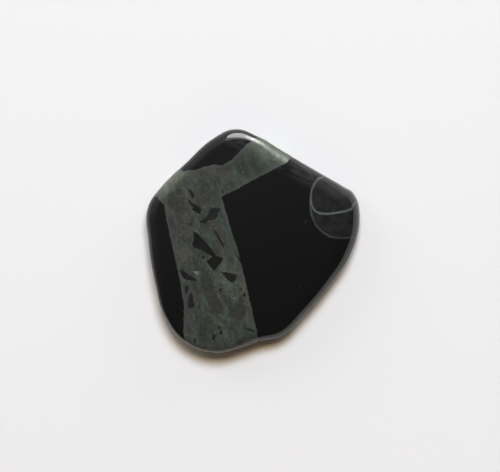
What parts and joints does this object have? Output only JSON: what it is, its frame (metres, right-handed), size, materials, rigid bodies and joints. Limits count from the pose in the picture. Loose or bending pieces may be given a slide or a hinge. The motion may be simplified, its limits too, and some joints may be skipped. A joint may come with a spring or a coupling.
{
  "type": "obsidian chunk",
  "caption": "Flat polished chunk of black obsidian with a grey-green breccia band, a rounded five-sided outline, a low crowned front and a flat back.",
  "frame": {"origin": "on the flat back, under the middle of the stone's box", "axes": "+X to the right and +Y to the top of the face as seen from the front, +Z out of the polished front"},
  "size_m": [0.0246, 0.0256, 0.0044],
  "materials": {
    "obsidian": "high polish"
  },
  "bodies": {
    "root": {"obsidian_chunk": "obsidian"}
  },
  "joints": []
}
